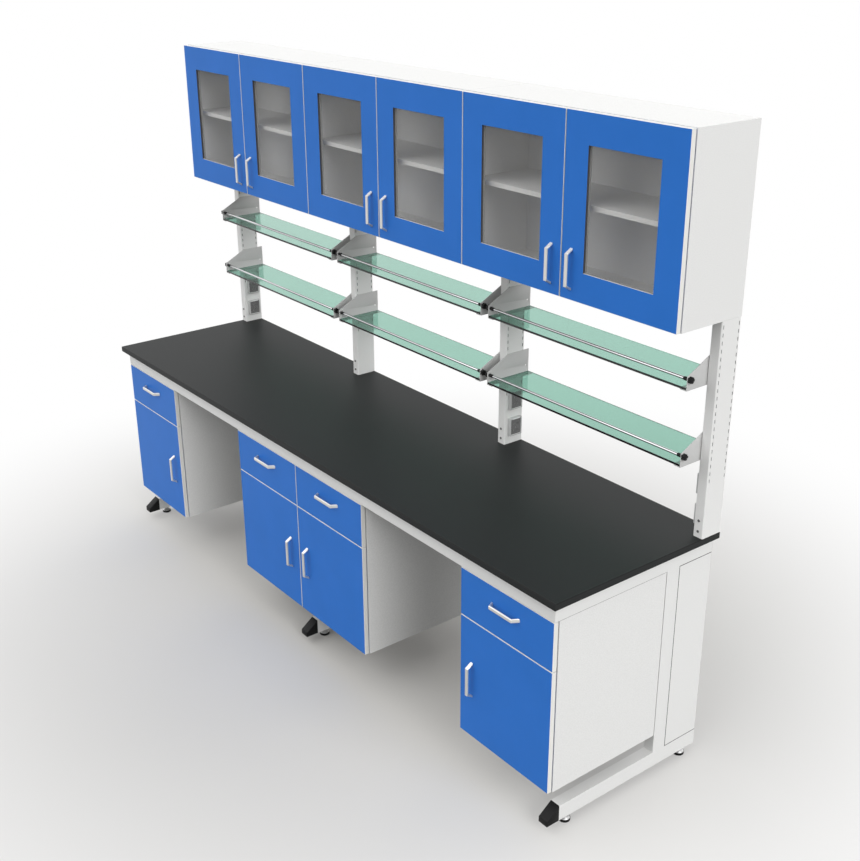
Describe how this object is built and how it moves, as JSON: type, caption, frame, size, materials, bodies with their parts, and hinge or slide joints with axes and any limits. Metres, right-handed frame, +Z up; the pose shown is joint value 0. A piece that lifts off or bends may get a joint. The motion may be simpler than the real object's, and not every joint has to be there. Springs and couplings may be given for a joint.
{
  "type": "lab bench with reagent shelf",
  "caption": "Laboratory bench: dark resin worktop on steel C-frames with hung drawer and door cabinets, slotted posts with glass reagent shelves and a glazed wall cabinet above.",
  "frame": {"origin": "on the floor, in the middle of the bench's footprint", "axes": "+X to the user's right along the bench, +Y from the user's side to the back, +Z up"},
  "size_m": [3, 0.7724, 2.2503],
  "materials": {
    "resin_black": "fine satin cast resin",
    "steel_white": "white powder coat",
    "board_white": "white melamine-faced board",
    "laminate_blue": "blue laminate with pale edging",
    "handle_metal": "satin",
    "shelf_glass": "clear float glass, green edge",
    "door_glass": "clear grey glass",
    "plastic_black": "black moulded plastic",
    "socket_grey": "grey moulded plastic",
    "rod_steel": "bright drawn steel",
    "edge_cream": "pale edge banding"
  },
  "bodies": {
    "bench": {"worktop": "resin_black", "front_rail": "steel_white", "rear_rail": "steel_white", "c_frame_left": "steel_white", "c_frame_middle": "steel_white", "c_frame_right": "steel_white", "base_cabinet_left": "board_white", "base_cabinet_middle": "board_white", "base_cabinet_right": "board_white", "shelf_post_1": "steel_white", "shelf_post_2": "steel_white", "shelf_post_3": "steel_white", "shelf_post_4": "steel_white", "shelf_cradle_1_lower": "steel_white", "glass_shelf_1_lower": "shelf_glass", "shelf_cradle_1_upper": "steel_white", "glass_shelf_1_upper": "shelf_glass", "shelf_cradle_2_lower": "steel_white", "glass_shelf_2_lower": "shelf_glass", "shelf_cradle_2_upper": "steel_white", "glass_shelf_2_upper": "shelf_glass", "shelf_cradle_3_lower": "steel_white", "glass_shelf_3_lower": "shelf_glass", "shelf_cradle_3_upper": "steel_white", "glass_shelf_3_upper": "shelf_glass", "wall_cabinet": "board_white"},
    "drawer_1_set": {"drawer_1": "laminate_blue", "drawer_handle_1": "handle_metal"},
    "drawer_2_set": {"drawer_2": "laminate_blue", "drawer_handle_2": "handle_metal"},
    "drawer_3_set": {"drawer_3": "laminate_blue", "drawer_handle_3": "handle_metal"},
    "drawer_4_set": {"drawer_4": "laminate_blue", "drawer_handle_4": "handle_metal"},
    "base_door_1_set": {"base_door_1": "laminate_blue", "base_door_handle_1": "handle_metal"},
    "base_door_2_set": {"base_door_2": "laminate_blue", "base_door_handle_2": "handle_metal"},
    "base_door_3_set": {"base_door_3": "laminate_blue", "base_door_handle_3": "handle_metal"},
    "base_door_4_set": {"base_door_4": "laminate_blue", "base_door_handle_4": "handle_metal"},
    "wall_door_1_set": {"wall_door_1": "laminate_blue", "wall_door_glass_1": "door_glass", "wall_door_handle_1": "handle_metal"},
    "wall_door_2_set": {"wall_door_2": "laminate_blue", "wall_door_glass_2": "door_glass", "wall_door_handle_2": "handle_metal"},
    "wall_door_3_set": {"wall_door_3": "laminate_blue", "wall_door_glass_3": "door_glass", "wall_door_handle_3": "handle_metal"},
    "wall_door_4_set": {"wall_door_4": "laminate_blue", "wall_door_glass_4": "door_glass", "wall_door_handle_4": "handle_metal"},
    "wall_door_5_set": {"wall_door_5": "laminate_blue", "wall_door_glass_5": "door_glass", "wall_door_handle_5": "handle_metal"},
    "wall_door_6_set": {"wall_door_6": "laminate_blue", "wall_door_glass_6": "door_glass", "wall_door_handle_6": "handle_metal"}
  },
  "joints": [
    {"name": "drawer_1_slide", "type": "slide", "parent": "bench", "child": "drawer_1_set", "axis": [0, -1, 0], "range_m": [0, 0.35]},
    {"name": "drawer_2_slide", "type": "slide", "parent": "bench", "child": "drawer_2_set", "axis": [0, -1, 0], "range_m": [0, 0.35]},
    {"name": "drawer_3_slide", "type": "slide", "parent": "bench", "child": "drawer_3_set", "axis": [0, -1, 0], "range_m": [0, 0.35]},
    {"name": "drawer_4_slide", "type": "slide", "parent": "bench", "child": "drawer_4_set", "axis": [0, -1, 0], "range_m": [0, 0.35]},
    {"name": "base_door_1_hinge", "type": "hinge", "parent": "bench", "child": "base_door_1_set", "pos_m": [-1.4735, -0.36085, 0.3994], "axis": [0, 0, -1], "range_deg": [0, 110]},
    {"name": "base_door_2_hinge", "type": "hinge", "parent": "bench", "child": "base_door_2_set", "pos_m": [-0.4485, -0.36085, 0.3994], "axis": [0, 0, -1], "range_deg": [0, 110]},
    {"name": "base_door_3_hinge", "type": "hinge", "parent": "bench", "child": "base_door_3_set", "pos_m": [0.4485, -0.36085, 0.3994], "axis": [0, 0, 1], "range_deg": [0, 110]},
    {"name": "base_door_4_hinge", "type": "hinge", "parent": "bench", "child": "base_door_4_set", "pos_m": [1.4735, -0.36085, 0.3994], "axis": [0, 0, 1], "range_deg": [0, 110]},
    {"name": "wall_door_1_hinge", "type": "hinge", "parent": "bench", "child": "wall_door_1_set", "pos_m": [-1.4985, 0.06615, 1.9503], "axis": [0, 0, -1], "range_deg": [0, 110]},
    {"name": "wall_door_2_hinge", "type": "hinge", "parent": "bench", "child": "wall_door_2_set", "pos_m": [-0.5015, 0.06615, 1.9503], "axis": [0, 0, 1], "range_deg": [0, 85]},
    {"name": "wall_door_3_hinge", "type": "hinge", "parent": "bench", "child": "wall_door_3_set", "pos_m": [-0.4985, 0.06615, 1.9503], "axis": [0, 0, -1], "range_deg": [0, 85]},
    {"name": "wall_door_4_hinge", "type": "hinge", "parent": "bench", "child": "wall_door_4_set", "pos_m": [0.4985, 0.06615, 1.9503], "axis": [0, 0, 1], "range_deg": [0, 85]},
    {"name": "wall_door_5_hinge", "type": "hinge", "parent": "bench", "child": "wall_door_5_set", "pos_m": [0.5015, 0.06615, 1.9503], "axis": [0, 0, -1], "range_deg": [0, 85]},
    {"name": "wall_door_6_hinge", "type": "hinge", "parent": "bench", "child": "wall_door_6_set", "pos_m": [1.4985, 0.06615, 1.9503], "axis": [0, 0, 1], "range_deg": [0, 110]}
  ]
}
